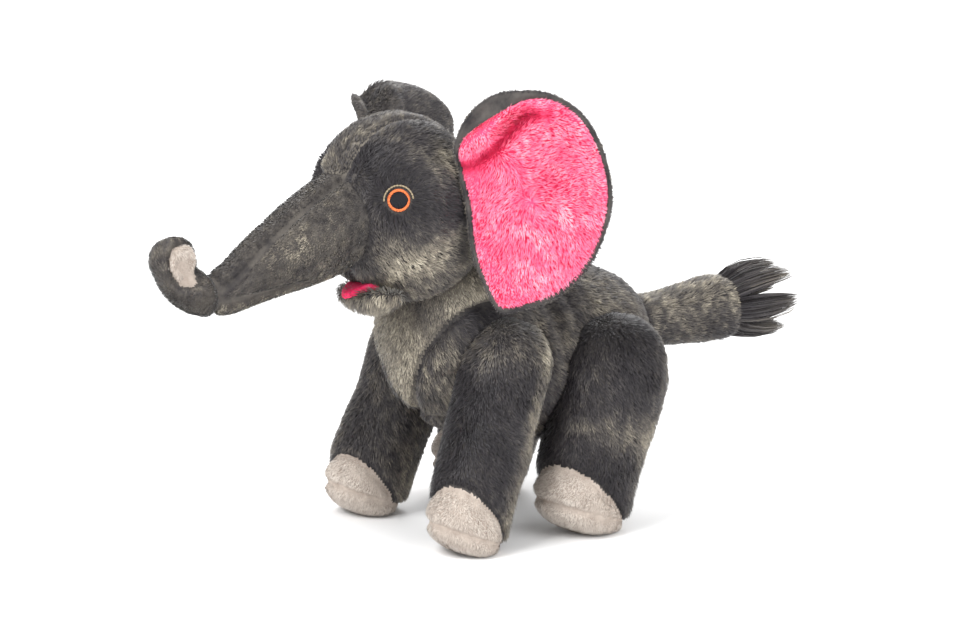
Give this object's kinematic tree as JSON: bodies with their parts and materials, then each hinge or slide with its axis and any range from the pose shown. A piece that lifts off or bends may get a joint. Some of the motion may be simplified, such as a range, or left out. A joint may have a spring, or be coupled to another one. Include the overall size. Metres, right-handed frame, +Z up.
{
  "type": "stuffed elephant",
  "caption": "Standing plush elephant with lined floppy ears, a curled trunk, embroidered eyes, padded legs with toe caps and a tufted tail.",
  "frame": {"origin": "centre of the bounding box at floor level, under the soles", "axes": "+Z up, the elephant faces -Y, its own left side is +X"},
  "size_m": [0.1749, 0.4132, 0.2509],
  "materials": {
    "grey_plush": "matte",
    "light_plush": "matte",
    "trunk_plush": "matte",
    "pink_plush": "matte",
    "beige_plush": "matte",
    "tuft_pile": "matte",
    "pink_felt": "matte",
    "black_thread": "satin",
    "copper_thread": "satin",
    "beige_thread": "satin",
    "fibre_filling": "matte"
  },
  "bodies": {
    "torso": {"chest_panel": "light_plush", "belly_panel": "grey_plush", "torso_side_left": "grey_plush", "torso_side_right": "grey_plush", "torso_stuffing": "fibre_filling"},
    "head": {"head_gusset": "grey_plush", "head_side_left": "grey_plush", "head_side_right": "grey_plush", "head_stuffing": "fibre_filling", "chin": "light_plush", "tongue": "pink_felt", "eye_pupil_left": "black_thread", "eye_ring_left": "copper_thread", "eye_lid_left": "beige_thread", "eye_pupil_right": "black_thread", "eye_ring_right": "copper_thread", "eye_lid_right": "beige_thread"},
    "trunk": {"trunk_side_left": "trunk_plush", "trunk_side_right": "trunk_plush", "trunk_top_strip": "trunk_plush", "trunk_under_strip": "light_plush", "trunk_tip_sleeve": "trunk_plush", "trunk_tip_disc": "beige_plush", "trunk_stuffing": "fibre_filling"},
    "ear_left": {"ear_back_left": "grey_plush", "ear_lining_left": "pink_plush"},
    "ear_right": {"ear_back_right": "grey_plush", "ear_lining_right": "pink_plush"},
    "tail": {"tail_sleeve": "grey_plush", "tail_tuft": "tuft_pile", "tail_stuffing": "fibre_filling"},
    "front_left_leg": {"front_left_sleeve": "grey_plush", "front_left_toe_cap": "beige_plush", "front_left_sole": "beige_plush", "front_left_stuffing": "fibre_filling"},
    "front_right_leg": {"front_right_sleeve": "grey_plush", "front_right_toe_cap": "beige_plush", "front_right_sole": "beige_plush", "front_right_stuffing": "fibre_filling"},
    "rear_left_leg": {"rear_left_sleeve": "grey_plush", "rear_left_toe_cap": "beige_plush", "rear_left_sole": "beige_plush", "rear_left_stuffing": "fibre_filling"},
    "rear_right_leg": {"rear_right_sleeve": "grey_plush", "rear_right_toe_cap": "beige_plush", "rear_right_sole": "beige_plush", "rear_right_stuffing": "fibre_filling"}
  },
  "joints": [
    {"name": "head_nod", "type": "hinge", "parent": "torso", "child": "head", "pos_m": [-0.00675, -0.05083, 0.183], "axis": [0.9914, 0, 0.1305], "range_deg": [-9, 8], "stiffness_Nm_per_rad": 3},
    {"name": "trunk_raise", "type": "hinge", "parent": "head", "child": "trunk", "pos_m": [-0.00662, -0.07483, 0.18201], "axis": [-0.9914, 0, -0.1305], "range_deg": [-6, 12], "stiffness_Nm_per_rad": 1},
    {"name": "ear_left_flap", "type": "hinge", "parent": "head", "child": "ear_left", "pos_m": [0.03787, -0.02783, 0.18887], "axis": [0.1305, 0, -0.9914], "range_deg": [-6, 20], "stiffness_Nm_per_rad": 0.1},
    {"name": "ear_right_flap", "type": "hinge", "parent": "head", "child": "ear_right", "pos_m": [-0.05228, -0.02783, 0.18407], "axis": [0.1132, 0, 0.9936], "range_deg": [-6, 20], "stiffness_Nm_per_rad": 0.1},
    {"name": "front_left_swing", "type": "hinge", "parent": "torso", "child": "front_left_leg", "pos_m": [0.03325, -0.00683, 0.098], "axis": [1, 0, 0], "range_deg": [-22, 2.5], "stiffness_Nm_per_rad": 2},
    {"name": "front_right_swing", "type": "hinge", "parent": "torso", "child": "front_right_leg", "pos_m": [-0.04675, -0.00683, 0.098], "axis": [1, 0, 0], "range_deg": [-22, 2.5], "stiffness_Nm_per_rad": 2},
    {"name": "rear_left_swing", "type": "hinge", "parent": "torso", "child": "rear_left_leg", "pos_m": [0.03925, 0.05817, 0.084], "axis": [1, 0, 0], "range_deg": [-3, 20], "stiffness_Nm_per_rad": 2},
    {"name": "rear_right_swing", "type": "hinge", "parent": "torso", "child": "rear_right_leg", "pos_m": [-0.05275, 0.05817, 0.084], "axis": [1, 0, 0], "range_deg": [-3, 20], "stiffness_Nm_per_rad": 2},
    {"name": "tail_wag", "type": "hinge", "parent": "torso", "child": "tail", "pos_m": [-0.00675, 0.10817, 0.0955], "axis": [0, 0, 1], "range_deg": [-15, 15], "stiffness_Nm_per_rad": 0.2}
  ]
}
